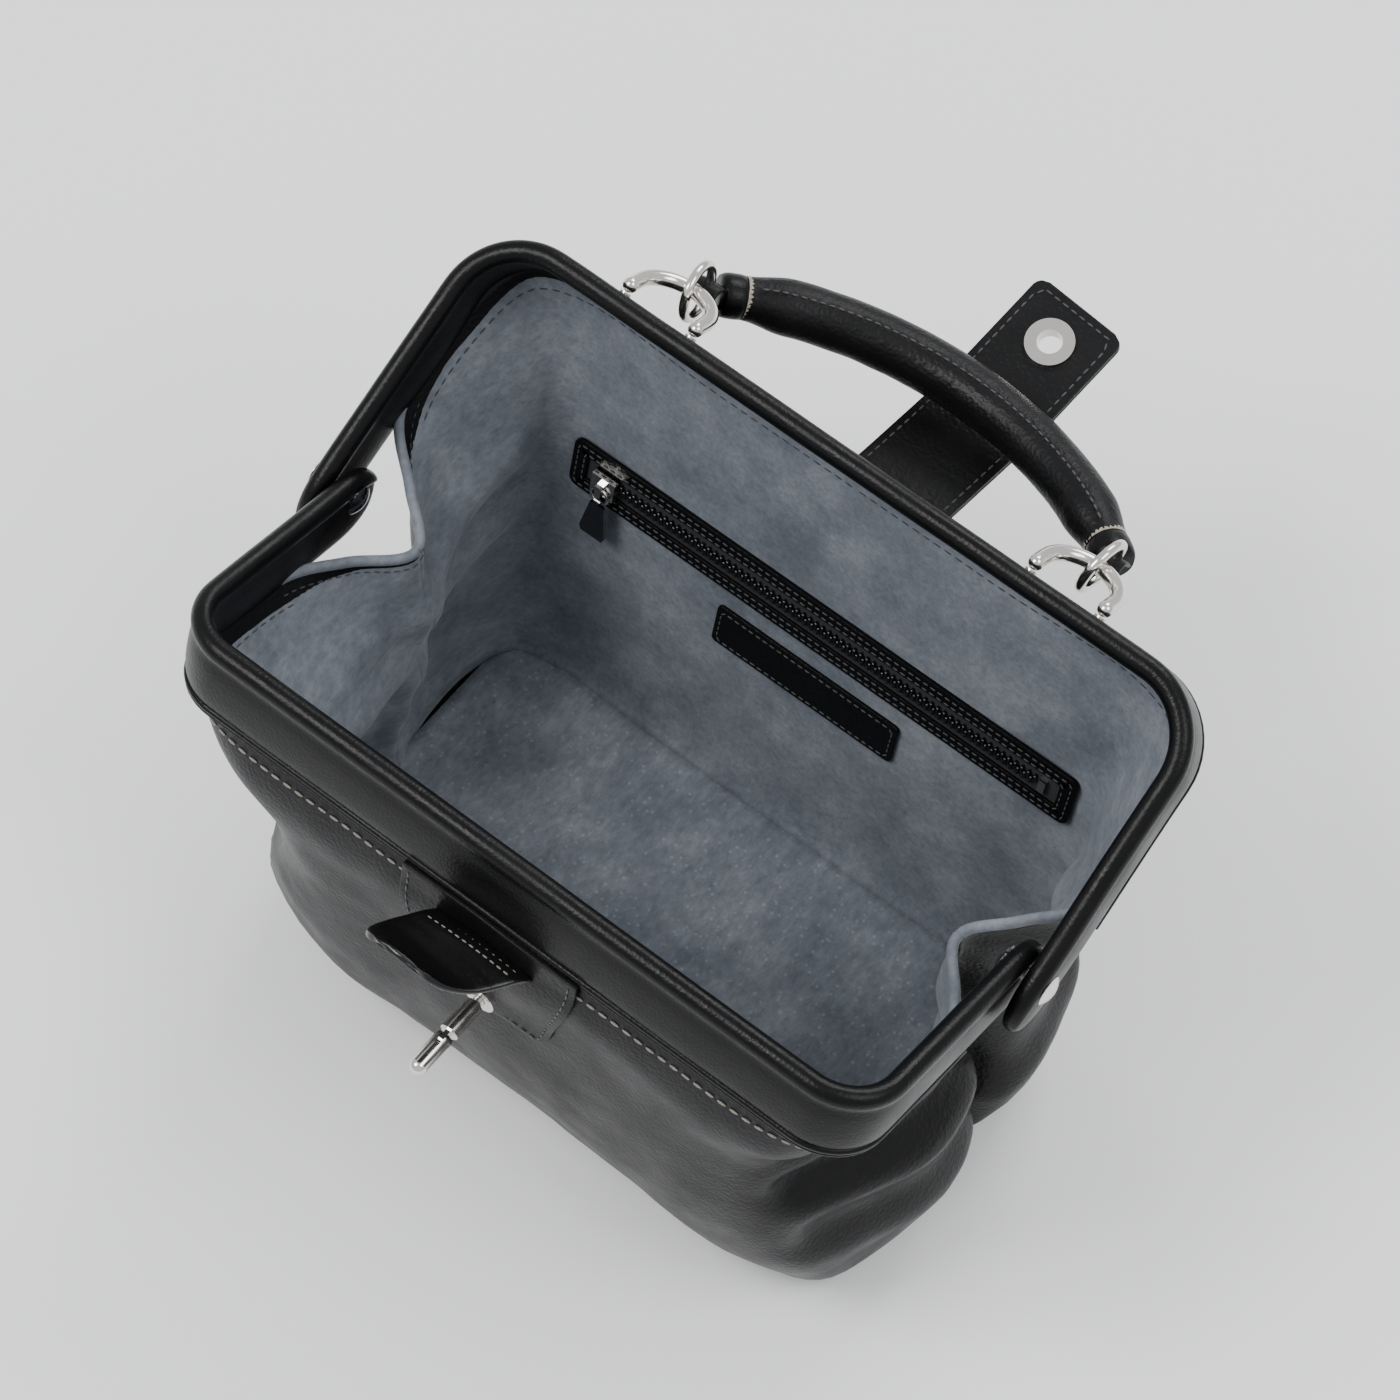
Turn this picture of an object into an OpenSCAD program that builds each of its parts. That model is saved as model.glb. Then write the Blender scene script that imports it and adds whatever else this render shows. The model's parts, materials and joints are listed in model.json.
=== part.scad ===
/* [Base] */
// Length of the base, left to right
base_l = 240; // [220:1:260]
// Depth of the base, front to back
base_d = 118; // [100:1:130]
// Radius of the base corners in plan
base_corner_r = 34; // [20:1:45]

/* [Frame] */
// Height of the frame's pivots above the ground when the mouth is open
hinge_z = 156; // [140:1:170]
// Length of the back half frame, pivot to rim
back_reach = 94; // [85:1:100]
// Length of the front half frame, pivot to rim
front_reach = 82; // [75:1:90]
// Width over the rim of the back half frame, centre to centre
back_rim_w = 269; // [268:1:272]
// Width over the rim of the front half frame, centre to centre
front_rim_w = 253; // [248:1:256]
// Rise of the open back half above level, in degrees
back_rise = 31; // [25:1:35]
// Rise of the open front half above level, in degrees
front_rise = 15; // [12:1:20]
// Height of a half frame's wall, rim crest to sewn edge
wall_h = 27; // [22:1:30]
// Radius of the rolled rim
rim_r = 3.7; // [3:0.1:4]

/* [Handle and strap] */
// Radius of the handle roll
grip_r = 9; // [7:0.5:10]
// Distance between the two handle ends
grip_span = 150; // [130:1:160]
// Width of the closing strap
strap_w = 35; // [25:1:40]
// Thickness of the closing strap with its lining
strap_t = 3.4; // [3:0.1:4]

/* [Zip pocket and label] */
// Length of the leather surround of the zip
zip_l = 197; // [170:1:200]
// Height of the leather surround of the zip
zip_h = 23; // [20:1:28]
// Length of the label patch
label_l = 72; // [50:1:90]
// Height of the label patch
label_h = 18.6; // [12:0.1:24]

/* [Hidden] */
$fn = 64;
gap = 0.1;              // room between a sewn skin and what it wraps

// Hides and linings
hide_t = 1.6;           // leather of the body
suede_t = 1.2;          // suede lining
sole_t = 3;             // base leather, doubled
board_t = 2;            // stiffener in the base
floor_top = sole_t + board_t + suede_t;
panel_half = 104;       // half width of the front and back walls
panel_gap = 9;          // a wall's solid ends this far below the frame's edge
foot_gap = 1.6;         // a wall's solid starts this far above the floor

// Half frames, in their own axes: x across, y away from the pivots, z up the wall
crest_v = 8;            // rim crest above the pivot line
wall_t = 4.6;           // covered wall
core_t = 1.5;           // steel strip inside
rim_v = crest_v - rim_r;
edge_v = crest_v - wall_h;
arm_cut = 12;           // side of the square cut off each corner of an arm's end
back_corner_r = 24;
front_corner_r = 18;
back_tail = 17;         // arm past the pivot
front_tail = 13;
welt_r = 1.5;
pin_r = 2.5;
pin_fit = 0.05;         // running clearance, radial
head_r = 5;
head_t = 1.8;

// Front and back walls, side profile [y, z] of the outer face, from foot to seam
seam_front = [-(front_reach * cos(front_rise) - edge_v * sin(front_rise)),
              hinge_z + front_reach * sin(front_rise) + edge_v * cos(front_rise)];
seam_back = [back_reach * cos(back_rise) - edge_v * sin(back_rise),
             hinge_z + back_reach * sin(back_rise) + edge_v * cos(back_rise)];
foot_z = floor_top + foot_gap;
foot_y = base_d / 2;
knee = [70, 26];        // where the back wall turns upright
back_lean = atan2(seam_back[0] - knee[0], seam_back[1] - knee[1]);
back_len = norm(seam_back - knee);
belly = [[-74, 31], [-82, 52], [-85, 70], [-86.5, 106]];

// Handle fittings, side view [y, z] in the back half's axes and in the bag's
loop_x = 76;
loop_r = 12.5;
loop_wire = 2.5;
loop_leg = 5;
loop_slope = -60;       // the loops hang this far below the frame's own plane
loop_root = [back_reach + 7, -1];
loop_tip_local = loop_root + (loop_r + loop_leg) * [cos(loop_slope), sin(loop_slope)];
loop_tip = [loop_tip_local[0] * cos(back_rise) - loop_tip_local[1] * sin(back_rise),
            hinge_z + loop_tip_local[0] * sin(back_rise) + loop_tip_local[1] * cos(back_rise)];
ring_r = 8.7;
ring_wire = 1.6;
ring_offset = 4.2;
ring_slope = -53;
ring_twist = 10;
ring_at = loop_tip + ring_offset * [cos(ring_slope), sin(ring_slope)];
tab_bore = 2.6;
grip_end = ring_at + 16.8 * [cos(-50), sin(-50)];
grip_slope = -21.4;     // the handle lies back on the strap
grip_rise = 30;         // depth of the handle's bow
grip_bow_r = (pow(grip_span / 2, 2) + pow(grip_rise, 2)) / (2 * grip_rise);
grip_half = asin(grip_span / 2 / grip_bow_r);
collar_deg = 4;
collar_r = 7.2;

// Strap, side view
strap_root = [93.5, 152];
strap_flat = 59;        // nearly level length
strap_slope = 3;
strap_skew = 5.5;       // the strap lies a little to the right
strap_tip_l = 43;       // upturned end
strap_tip_slope = 14;
eyelet_back = 15;       // eyelet centre from the end
eyelet_r = 8;
eyelet_bore = 4.1;

// Toggle, on the front wall
toggle_z = 114;
toggle_y = belly[3][0] - hide_t - 0.2;
post_r = 3.2;
post_l = 15;
tip_r = 3;
tip_l = 14;
tip_pin_r = 0.8;

// Zip, in the back wall's own axes: y = 0 is the outer face, z runs up the wall
zip_z = 86;
label_z = 56;
skin = hide_t + suede_t;
slider_x = -84;

module back_half() { translate([0, 0, hinge_z]) rotate([back_rise, 0, 0]) children(); }
module front_half() { translate([0, 0, hinge_z]) rotate([-front_rise, 0, 0]) mirror([0, 1, 0]) children(); }
module both_sides() { children(); mirror([1, 0, 0]) children(); }

// Runs a section round a half frame: x of the section is outward, y is up the wall,
// and the arms stop at tail past the pivots.
module run_frame(half_w, reach, corner_r, tail) {
    cx = half_w - corner_r;
    cy = reach - corner_r;
    translate([-cx, cy, 0]) rotate([90, 0, 90]) linear_extrude(2 * cx) translate([corner_r, 0]) children();
    both_sides() translate([cx, cy, 0]) {
        rotate_extrude(angle = 90) translate([corner_r, 0]) children();
        rotate([90, 0, 0]) linear_extrude(cy + tail) translate([corner_r, 0]) children();
    }
}

module wall_section(t, low, high) { translate([-t / 2, low]) square([t, high - low]); }

// Covered wall with its rolled rim; each arm's end is cut back at both corners,
// and the wall is hollow where the steel strip lies
module covered_section() {
    union() {
        wall_section(wall_t, edge_v, rim_v);
        translate([0, rim_v]) circle(rim_r);
    }
}
module covered_half(half_w, reach, corner_r, tail) {
    difference() {
        run_frame(half_w, reach, corner_r, tail) covered_section();
        run_frame(half_w, reach, corner_r, tail - 8) wall_section(core_t + 2 * gap, edge_v + 2, rim_v);
        both_sides() translate([half_w, 0, 0]) rotate([0, 90, 0])
            cylinder(r = pin_r + pin_fit, h = 30, center = true);
        both_sides() for (v = [edge_v, crest_v]) translate([half_w, -tail, v]) rotate([45, 0, 0])
            cube([20, arm_cut, arm_cut], center = true);
    }
}

module core_half(half_w, reach, corner_r, tail) {
    difference() {
        run_frame(half_w, reach, corner_r, tail - 8 - gap)
            wall_section(core_t, edge_v + 2 + gap, rim_v - gap);
        both_sides() translate([half_w, 0, 0]) rotate([0, 90, 0])
            cylinder(r = pin_r + pin_fit, h = 40, center = true);
    }
}

module base_plate(grow, z0, t) {
    l = base_l / 2 - base_corner_r;
    d = base_d / 2 - base_corner_r;
    r = base_corner_r + grow;
    translate([0, 0, z0]) union() {
        translate([-l, -d - r, 0]) cube([2 * l, 2 * (d + r), t]);
        translate([-l - r, -d, 0]) cube([2 * (l + r), 2 * d, t]);
        for (sx = [-1, 1], sy = [-1, 1]) translate([sx * l, sy * d, 0]) cylinder(r = r, h = t);
    }
}

module base_leather() { color("#1b1b1d") base_plate(0, 0, sole_t); }
module base_board() { color("#6b5c48") base_plate(-4, sole_t, board_t); }
module floor_lining() { color("#646f7c") base_plate(-4, sole_t + board_t, suede_t); }

// An end wall folded inwards at its middle; skin_from and skin_t set the layer
module gusset(skin_from, skin_t) {
    x_edge = panel_half + 9 - skin_from;
    x_fold = panel_half - 11 - skin_from;
    front = 52;
    back = 54;
    flat = 40;
    translate([0, 0, foot_z]) linear_extrude(112) polygon([
        [x_edge, -front], [x_edge, -flat], [x_fold, 0], [x_edge, flat], [x_edge, back],
        [x_edge - skin_t, back], [x_edge - skin_t, flat], [x_fold - skin_t, 0],
        [x_edge - skin_t, -flat], [x_edge - skin_t, -front]]);
}
module right_gusset() { color("#1b1b1d") gusset(0, hide_t); }
module left_gusset() { color("#1b1b1d") mirror([1, 0, 0]) gusset(0, hide_t); }
module right_gusset_lining() { color("#646f7c") gusset(hide_t, suede_t); }
module left_gusset_lining() { color("#646f7c") mirror([1, 0, 0]) gusset(hide_t, suede_t); }

// Pivot rivets: the front arm lies inside the back arm
front_arm_x = front_rim_w / 2;
back_arm_x = back_rim_w / 2;
side_gap = 0.35;
inner_face = front_arm_x - rim_r - side_gap;
outer_face = back_arm_x + rim_r + side_gap;
module on_pivots(x) { both_sides() translate([x, 0, hinge_z]) rotate([0, 90, 0]) children(); }
module rivet_shanks() { color("silver") on_pivots(inner_face) cylinder(r = pin_r, h = outer_face - inner_face); }
module rivet_head() {
    rotate_extrude() intersection() {
        translate([0, head_t - 8]) circle(8);
        square([head_r, head_t]);
    }
}
module rivet_outer_heads() { color("silver") on_pivots(outer_face) rivet_head(); }
module rivet_inner_heads() { color("#4a4a4e") on_pivots(inner_face) mirror([0, 0, 1]) rivet_head(); }
module front_frame_cover() {
    color("#161617") front_half() covered_half(front_arm_x, front_reach, front_corner_r, front_tail);
}
module front_frame_core() {
    color("gray") front_half() core_half(front_arm_x, front_reach, front_corner_r, front_tail);
}
module back_frame_cover() {
    color("#161617") back_half() covered_half(back_arm_x, back_reach, back_corner_r, back_tail);
}
module back_frame_core() {
    color("gray") back_half() core_half(back_arm_x, back_reach, back_corner_r, back_tail);
}
module welt(half_w, reach, corner_r) {
    run_frame(half_w, reach, corner_r, -24) translate([0, edge_v - welt_r]) circle(welt_r, $fn = 32);
}
module front_welt() { color("#161617") front_half() welt(front_arm_x, front_reach, front_corner_r); }
module back_welt() { color("#161617") back_half() welt(back_arm_x, back_reach, back_corner_r); }

module on_loops() {
    for (s = [-1, 1]) back_half() translate([s * loop_x, loop_root[0], loop_root[1]])
        rotate([loop_slope, 0, 0]) children();
}
module handle_loops() {
    color("silver") on_loops() {
        translate([0, loop_leg, 0]) rotate_extrude(angle = 180) translate([loop_r, 0]) circle(loop_wire);
        for (s = [-1, 1]) translate([s * loop_r, loop_leg, 0]) {
            rotate([90, 0, 0]) cylinder(r = loop_wire, h = loop_leg);
            translate([0, -loop_leg, 0]) sphere(loop_wire);
        }
    }
}
module loop_screws() {
    post_from = back_reach + wall_t / 2 + 0.05;
    color("silver") for (s = [-1, 1], t = [-1, 1]) back_half()
        translate([s * loop_x + t * loop_r, post_from, loop_root[1]]) rotate([-90, 0, 0])
            cylinder(r = 2, h = loop_root[0] - post_from - loop_wire - gap);
}

// Walls: a strip of constant thickness that follows a side profile
function shift(points, dy) = [for (p = points) [p[0] + dy, p[1]]];
function reversed(points) = [for (i = [len(points) - 1:-1:0]) points[i]];
module wall_strip(points, from, to, half) {
    rotate([90, 0, 90]) translate([0, 0, -half]) linear_extrude(2 * half)
        polygon(concat(shift(points, from), reversed(shift(points, to))));
}
function end_below(a, b, g) = b - g * (b - a) / norm(b - a);
front_profile = concat([[-foot_y, foot_z]], belly,
    [end_below(belly[3], seam_front, panel_gap)]);
back_profile = [[foot_y, foot_z], knee, end_below(knee, seam_back, panel_gap)];
module front_panel() { color("#1b1b1d") wall_strip(front_profile, 0, hide_t, panel_half); }
module front_lining() { color("#646f7c") wall_strip(front_profile, hide_t, skin, panel_half); }
module back_panel() { color("#1b1b1d") wall_strip(back_profile, 0, -hide_t, panel_half); }
module back_lining() { color("#646f7c") wall_strip(back_profile, -hide_t, -skin, panel_half); }

module on_back_wall(x, z) {
    translate([0, knee[0], knee[1]]) rotate([-back_lean, 0, 0])
        translate([x, -skin / cos(back_lean), z]) children();
}
module tablet(l, h, t) { translate([-l / 2, -t, -h / 2]) cube([l, t, h]); }

module zip_surround() {
    color("#161617") on_back_wall(0, zip_z) difference() {
        tablet(zip_l, zip_h, 1.6);
        translate([0, 1, 0]) tablet(zip_l - 16, 11, 4);
    }
}
module zip_tapes() {
    color("black") on_back_wall(0, zip_z) for (s = [-1, 1])
        translate([0, 0, s * 4.2]) tablet(zip_l - 16.2, 2.4, 0.7);
}
module zip_chain() { color("#222222") on_back_wall(0, zip_z) tablet(zip_l - 26, 5, 1.8); }
module zip_stops() {
    color("silver") on_back_wall(0, zip_z) for (s = [-1, 1])
        translate([s * (zip_l / 2 - 11.5), 0, 0]) tablet(2.4, 5.4, 2.2);
}
module zip_slider() {
    color("silver") on_back_wall(slider_x, zip_z) {
        difference() {
            tablet(9, 8.6, 4.4);
            translate([0, 1, 0]) tablet(10, 5.6, 3.2);
            translate([0, 1, 0]) tablet(10, 10, 1.9);
        }
        translate([0, -4.4, 0]) difference() {
            tablet(2.4, 5, 2.6);
            translate([0, 0.6, 0]) tablet(3, 3, 2.2);
        }
    }
}
module on_pull() { on_back_wall(slider_x, zip_z) translate([0, -5.2, 0]) children(); }
module zip_pull_ring() {
    color("silver") on_pull() translate([0, 0, -3.2]) rotate([90, 0, 0])
        rotate_extrude() translate([3.2, 0]) circle(0.6, $fn = 24);
}
module zip_pull() {
    eye = [0, 0, -1.3];  // the plate's upper end is a barrel round the ring
    color("#4a4a4e") on_pull() translate([0, 0, -5]) difference() {
        union() {
            translate(eye - [1.2, 0, 0]) rotate([0, 90, 0]) cylinder(r = 1.5, h = 2.4);
            translate([0, 0.6, 0]) rotate([90, 0, 0]) linear_extrude(1.2) polygon([[-1.2, -2], [1.2, -2],
                [2.8, -3.2], [5, -17], [4.2, -19], [-4.2, -19], [-5, -17], [-2.8, -3.2]]);
        }
        translate(eye - [2, 0, 0]) rotate([0, 90, 0]) cylinder(r = 0.95, h = 4);
    }
}
module label_patch() { color("#161617") on_back_wall(0, label_z) tablet(label_l, label_h, 1.6); }

// Toggle fastener on its patch
module toggle_patch() {
    profile = [belly[3] - [0.1, -1], front_profile[len(front_profile) - 1] - [0.1, 0]];
    color("#1b1b1d") intersection() {
        wall_strip(profile, 0, -hide_t, 33);
        translate([0, -60, 0]) rotate([90, 0, 0]) linear_extrude(40)
            polygon([[-24, 107], [24, 107], [27, 112], [32.5, 160], [-32.5, 160], [-27, 112]]);
    }
}
module along_toggle(y) { translate([0, y, toggle_z]) rotate([90, 0, 0]) children(); }
rosette_y = toggle_y - 1.5;
module toggle_rosette() {
    color("silver") along_toggle(rosette_y) difference() {
        cylinder(r = 5.4, h = 1.5);
        translate([0, 0, -1]) cylinder(r = 2.2, h = 4);
    }
}
module toggle_post() {
    color("silver") along_toggle(rosette_y + 1.2) difference() {
        union() {
            cylinder(r = 2, h = 5);
            translate([0, 0, 5]) cylinder(r = post_r, h = post_l - 3.2);
            translate([0, 0, post_l + 1.8]) cylinder(r = 2.2, h = 3.2);
            translate([0, 0, post_l + 5]) rotate([0, 90, 0]) cylinder(r = 2.2, h = 1.6, center = true);
            translate([-0.8, -2.2, post_l + 1.8]) cube([1.6, 4.4, 3.2]);
        }
        translate([0, 0, post_l + 5]) rotate([0, 90, 0])
            cylinder(r = tip_pin_r + 0.03, h = 10, center = true);
        for (s = [-1, 1]) translate([s * 2.8, 0, post_l + 5]) cube([4, 12, 6.4], center = true);
    }
}
tip_y = rosette_y + 1.2 - post_l - 5;
module toggle_pin() {
    color("silver") translate([0, tip_y, toggle_z]) rotate([0, 90, 0])
        cylinder(r = tip_pin_r, h = 4.6, center = true);
}
module toggle_tip() {
    color("silver") along_toggle(tip_y) difference() {
        union() {
            cylinder(r = tip_r, h = tip_l - tip_r);
            intersection() {
                translate([0, 0, -1.8]) cylinder(r = tip_r, h = 2);
                sphere(tip_r);
            }
            translate([0, 0, tip_l - tip_r]) sphere(tip_r);
        }
        translate([-1, -6, -8]) cube([2, 12, 11]);
        rotate([0, 90, 0]) cylinder(r = tip_pin_r + 0.05, h = 10, center = true);
    }
}
module pull_tab() {
    color("#101011") rotate([90, 0, 90]) translate([0, 0, -18.5]) linear_extrude(37) polygon([
        [-87.3, 141], [-87.3, 148.5], [-97, 149], [-107, 153], [-114, 160],
        [-116.2, 158.4], [-109, 150.6], [-98, 146.4], [-89.8, 146], [-89.8, 141]]);
}

// Handle
module on_rings() {
    for (s = [-1, 1]) translate([s * loop_x, ring_at[0], ring_at[1]]) rotate([ring_slope, 0, 0])
        rotate([0, 90 + s * ring_twist, 0]) children();
}
module handle_rings() { color("silver") on_rings() rotate_extrude() translate([ring_r, 0]) circle(ring_wire); }
module on_grip() {
    translate([0, grip_end[0], grip_end[1]]) rotate([grip_slope, 0, 0])
        translate([0, grip_rise - grip_bow_r, 0]) children();
}
module bow(from, to, r) {
    rotate([0, 0, from]) rotate_extrude(angle = to - from) translate([grip_bow_r, 0]) circle(r);
}
bow_from = 90 - grip_half;
bow_to = 90 + grip_half;
module handle_grip() {
    color("#161617") on_grip() difference() {
        bow(bow_from + collar_deg, bow_to - collar_deg, grip_r);
        bow(bow_from + collar_deg - 1, bow_to - collar_deg + 1, grip_r - 2);
    }
}
module handle_core() {
    color("#8a8070") on_grip() bow(bow_from + collar_deg + 0.1, bow_to - collar_deg - 0.1, grip_r - 2 - gap);
}
module handle_collars() {
    color("#2b2b2e") on_grip() {
        bow(bow_from, bow_from + collar_deg - 0.1, collar_r);
        bow(bow_to - collar_deg + 0.1, bow_to, collar_r);
    }
}
module handle_tabs() {
    color("#161617") for (s = [-1, 1]) difference() {
        translate([s * loop_x, ring_at[0], ring_at[1]]) rotate([ring_slope, 0, 0])
            translate([-4.5, ring_r - 4.4, -4.2]) cube([9, 9.6, 8.4]);
        translate([s * loop_x, ring_at[0], ring_at[1]]) rotate([ring_slope, 0, 0])
            rotate([0, 90 + s * ring_twist, 0]) rotate_extrude() translate([ring_r, 0]) circle(tab_bore);
        on_grip() bow(bow_from - 0.2, bow_from + 8, collar_r + 0.2);
        on_grip() bow(bow_to - 8, bow_to + 0.2, collar_r + 0.2);
    }
}

// Strap: a side profile bent once, drilled for the eyelet
strap_bend = strap_root + strap_flat * [cos(strap_slope), sin(strap_slope)];
strap_end = strap_bend + strap_tip_l * [cos(strap_tip_slope), sin(strap_tip_slope)];
eyelet_at = strap_end - eyelet_back * [cos(strap_tip_slope), sin(strap_tip_slope)];
function above(point, slope, d) = point + d * [-sin(slope), cos(slope)];
function strap_edge(d) = [above(strap_root, strap_slope, d),
    above(strap_bend, (strap_slope + strap_tip_slope) / 2, d), above(strap_end, strap_tip_slope, d)];
module skewed() {
    translate([0, strap_root[0], 0]) rotate([0, 0, -strap_skew]) translate([0, -strap_root[0], 0]) children();
}
module on_eyelet() {
    translate([0, eyelet_at[0], eyelet_at[1]]) rotate([strap_tip_slope, 0, 0]) children();
}
module strap_layer(low, high) {
    difference() {
        rotate([90, 0, 90]) translate([0, 0, -strap_w / 2]) linear_extrude(strap_w)
            polygon(concat(strap_edge(low), reversed(strap_edge(high))));
        on_eyelet() cylinder(r = 5, h = 20, center = true);
    }
}
module strap() { color("#1b1b1d") skewed() strap_layer(0.1, strap_t / 2); }
module strap_lining() { color("#3a3b3e") skewed() strap_layer(-strap_t / 2, -0.1); }
module eyelet_washer() {
    color("silver") skewed() on_eyelet() difference() {
        union() {
            for (z = [-strap_t / 2 - 1, strap_t / 2 + 0.05]) translate([0, 0, z]) cylinder(r = eyelet_r, h = 0.95);
            cylinder(r = 4.9, h = strap_t + 1, center = true);
        }
        cylinder(r = eyelet_bore, h = 10, center = true);
    }
}
module strap_anchor() {
    color("#1b1b1d") on_back_wall(0, 100) translate([0, skin / cos(back_lean) + 0.1, 0])
        translate([-strap_w / 2, 0, -12]) cube([strap_w, 2.6, 36]);
}
module strap_rivets() {
    color("silver") for (s = [-1, 1]) on_back_wall(s * 10, 94)
        translate([0, skin / cos(back_lean) + 2.8, 0]) rotate([-90, 0, 0]) cylinder(r = 3.4, h = 1.2);
}

base_leather();
base_board();
floor_lining();
left_gusset();
right_gusset();
left_gusset_lining();
right_gusset_lining();
rivet_shanks();
rivet_inner_heads();
rivet_outer_heads();
front_frame_core();
front_frame_cover();
front_welt();
back_frame_core();
back_frame_cover();
back_welt();
handle_loops();
loop_screws();
front_panel();
front_lining();
toggle_patch();
toggle_rosette();
toggle_post();
toggle_pin();
pull_tab();
toggle_tip();
back_panel();
back_lining();
zip_surround();
zip_tapes();
zip_chain();
zip_stops();
label_patch();
strap_anchor();
strap_rivets();
zip_slider();
zip_pull_ring();
zip_pull();
handle_rings();
handle_grip();
handle_core();
handle_collars();
handle_tabs();
strap();
strap_lining();
eyelet_washer();
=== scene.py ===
# %% [markdown]
# # A small black doctor bag, standing open
# The frame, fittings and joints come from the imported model. This notebook dresses them: sewn leather, suede,
# thread and polished nickel. Every length is written in millimetres and turned into metres by `MM`.

# %% Load the frame
import json
import math
import bpy
import bmesh
from mathutils import Matrix, Vector, noise


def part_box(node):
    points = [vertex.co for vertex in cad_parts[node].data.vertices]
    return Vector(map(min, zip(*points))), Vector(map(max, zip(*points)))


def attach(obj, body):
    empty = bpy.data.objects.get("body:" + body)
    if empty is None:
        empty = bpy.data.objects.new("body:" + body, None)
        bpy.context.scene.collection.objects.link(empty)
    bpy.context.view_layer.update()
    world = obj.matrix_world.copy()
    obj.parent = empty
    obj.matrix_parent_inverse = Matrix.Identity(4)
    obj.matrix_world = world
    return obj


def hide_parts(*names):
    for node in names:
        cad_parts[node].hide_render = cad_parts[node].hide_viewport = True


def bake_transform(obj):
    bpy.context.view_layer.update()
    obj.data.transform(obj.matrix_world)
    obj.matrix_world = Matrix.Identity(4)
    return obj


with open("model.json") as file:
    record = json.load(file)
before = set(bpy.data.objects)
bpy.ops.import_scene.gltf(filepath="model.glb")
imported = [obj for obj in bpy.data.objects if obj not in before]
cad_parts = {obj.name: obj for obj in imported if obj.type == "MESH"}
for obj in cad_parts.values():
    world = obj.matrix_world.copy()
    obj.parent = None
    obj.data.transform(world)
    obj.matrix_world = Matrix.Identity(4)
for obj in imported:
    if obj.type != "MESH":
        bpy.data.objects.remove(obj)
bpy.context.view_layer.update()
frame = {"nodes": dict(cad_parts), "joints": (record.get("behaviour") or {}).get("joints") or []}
MM = 0.001

# %% [markdown]
# ## The camera
# The bag is seen from the front right and from well above, through a long lens, so that the mouth shows the
# whole inside. The camera is turned by its own three axes: right, up and back.

# %% Camera
CAMERA_AZIMUTH, CAMERA_ELEVATION, CAMERA_ROLL = 32.1, 60.44, 6.67
CAMERA_AT = Vector((0.3931, -0.6143, 1.4588))
LENS_MM, SENSOR_MM = 128.57, 36.0


def camera_turn(azimuth, elevation, roll):
    az, el = math.radians(azimuth), math.radians(elevation)
    back = Vector((math.sin(az) * math.cos(el), -math.cos(az) * math.cos(el), math.sin(el)))
    right = Vector((math.cos(az), math.sin(az), 0.0))
    turn = Matrix((right, back.cross(right), back)).transposed()
    return (turn @ Matrix.Rotation(math.radians(roll), 3, "Z")).to_4x4()


camera_data = bpy.data.cameras.new("camera")
camera_data.lens = LENS_MM
camera_data.sensor_width = SENSOR_MM
camera_data.clip_start = 0.05
camera = bpy.data.objects.new("camera", camera_data)
camera.matrix_world = Matrix.Translation(CAMERA_AT) @ camera_turn(CAMERA_AZIMUTH, CAMERA_ELEVATION, CAMERA_ROLL)
bpy.context.collection.objects.link(camera)
bpy.context.scene.camera = camera

# %% [markdown]
# ## Measures that the pieces share
# A half frame is drawn in its own axes: x across the bag, u away from the pivots, v up the wall of the frame.
# `front_half` and `back_half` carry those axes to where the open frame stands.

# %% Shared measures
PIVOT = Vector(next(j for j in frame["joints"] if j["name"] == "front_frame_fold")["pos_m"]) / MM
FRONT_RISE, BACK_RISE = 15.0, 31.0
FRONT_REACH, BACK_REACH = 82.0, 94.0
FRONT_HALF_W, BACK_HALF_W, BACK_BAR_HALF_W = 126.5, 134.5, 133.5
FRONT_CORNER, BACK_CORNER = 18.0, 24.0
FRONT_TAIL, BACK_TAIL = 13.0, 17.0
CREST, EDGE = 8.0, -19.0
RIM_R = 3.75
BELLY_Y = -86.5
WALL_KNEE_Y, WALL_KNEE_Z, WALL_LEAN = 70.0, 26.0, 7.157


def front_half(x, u, v):
    a = math.radians(FRONT_RISE)
    return Vector((x, -u * math.cos(a) + v * math.sin(a), PIVOT.z + u * math.sin(a) + v * math.cos(a)))


def back_half(x, u, v):
    a = math.radians(BACK_RISE)
    return Vector((x, u * math.cos(a) - v * math.sin(a), PIVOT.z + u * math.sin(a) + v * math.cos(a)))


def smooth(t):
    t = min(max(t, 0.0), 1.0)
    return t * t * (3 - 2 * t)


def mix(a, b, t):
    return a + (b - a) * t


def through(values, t):
    """A smooth curve through evenly spaced values, for t from 0 to 1."""
    last = len(values) - 1
    i = min(int(t * last), last - 1)
    f = t * last - i
    p1, p2 = values[i], values[i + 1]
    p0 = values[i - 1] if i > 0 else p1 + (p1 - p2)
    p3 = values[i + 2] if i + 2 <= last else p2 + (p2 - p1)
    return 0.5 * (2 * p1 + (p2 - p0) * f + (2 * p0 - 5 * p1 + 4 * p2 - p3) * f * f
                  + (3 * p1 - p0 - 3 * p2 + p3) * f ** 3)


print("pivots at", tuple(round(c, 1) for c in PIVOT), "mm")

# %% [markdown]
# ## Materials
# Leather is nearly black, so its look is all gloss and grain: a fine cell pattern and slow waves in the bump,
# and a roughness that drifts a little. All patterns read Object coordinates, in metres.

# %% Node helpers
def new_material(name, **sockets):
    material = bpy.data.materials.new(name)
    material.use_nodes = True
    shader = material.node_tree.nodes["Principled BSDF"]
    for socket, value in sockets.items():
        shader.inputs[socket.replace("_", " ")].default_value = value
    return material


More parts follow.
